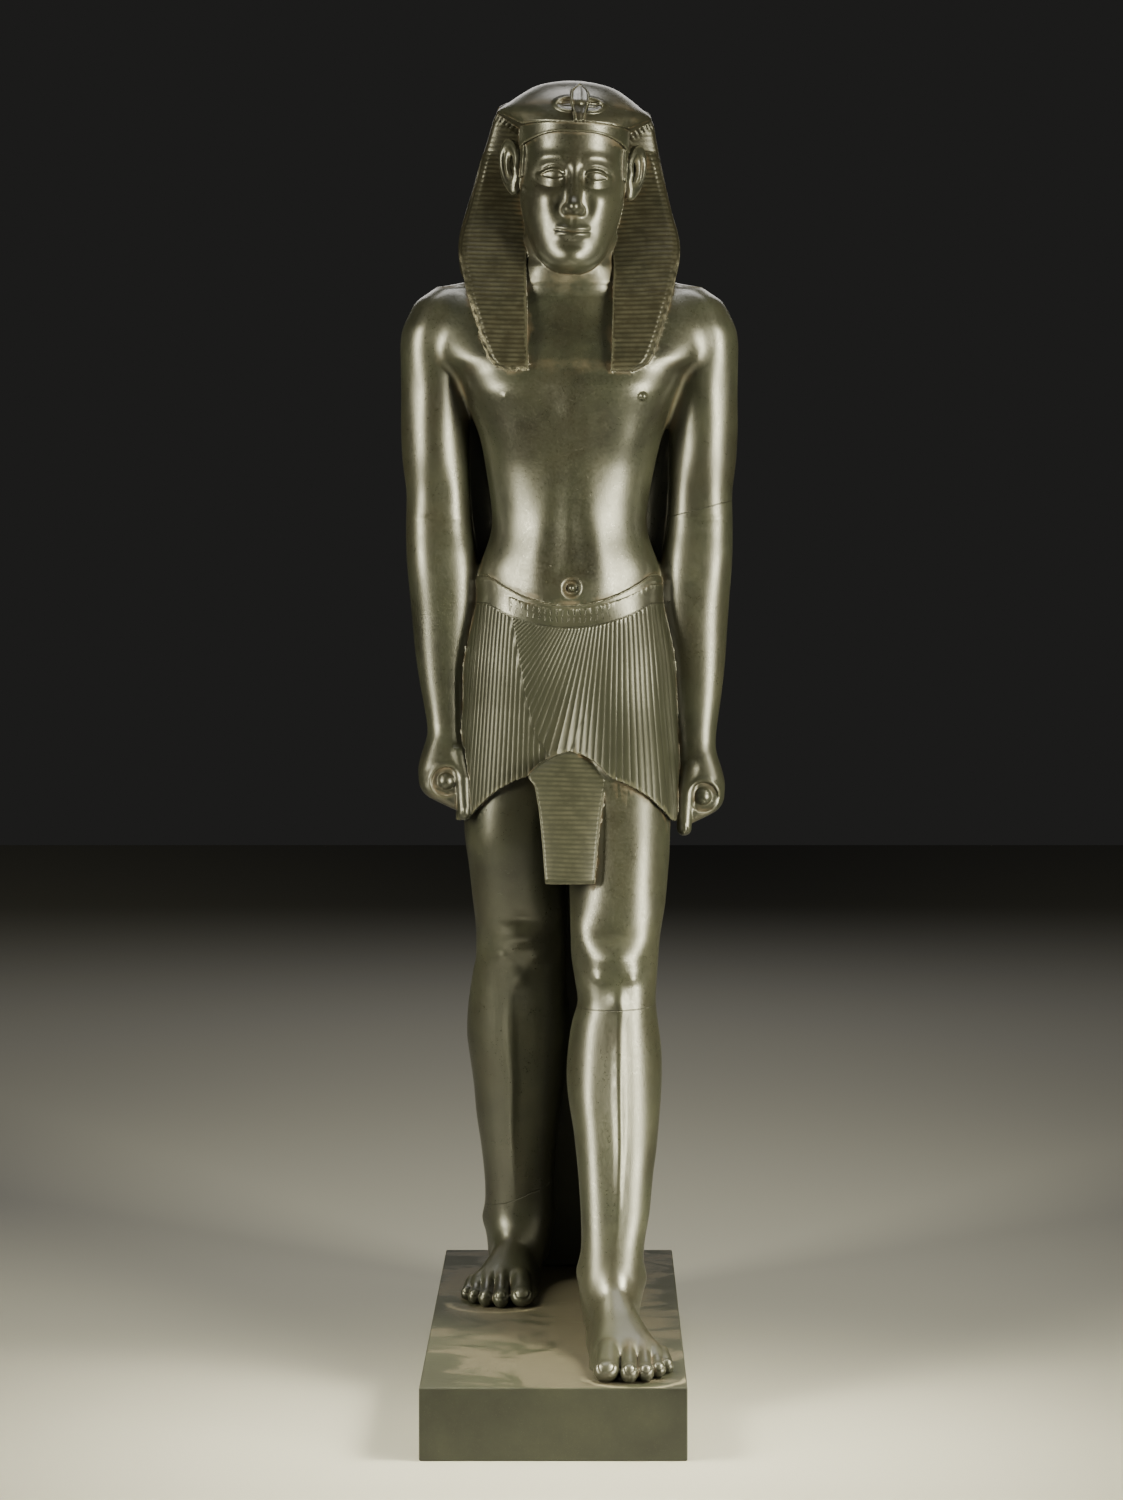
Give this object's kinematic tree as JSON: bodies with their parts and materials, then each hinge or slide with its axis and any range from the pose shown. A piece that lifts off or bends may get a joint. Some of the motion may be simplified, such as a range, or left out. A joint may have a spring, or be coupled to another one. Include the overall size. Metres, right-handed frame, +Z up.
{
  "type": "egyptian pharaoh statue",
  "caption": "Life-size striding king in polished dark stone, with striped headcloth, cobra, pleated kilt, back pillar and plinth in one.",
  "frame": {"origin": "centre of the plinth's underside", "axes": "+Z up, the figure faces -Y, and +X is the figure's own left, the side of its advanced leg"},
  "size_m": [0.4918, 0.728, 1.8434],
  "materials": {
    "stone": "polished, with matt carving"
  },
  "bodies": {
    "root": {"pharaoh_statue": "stone"}
  },
  "joints": []
}
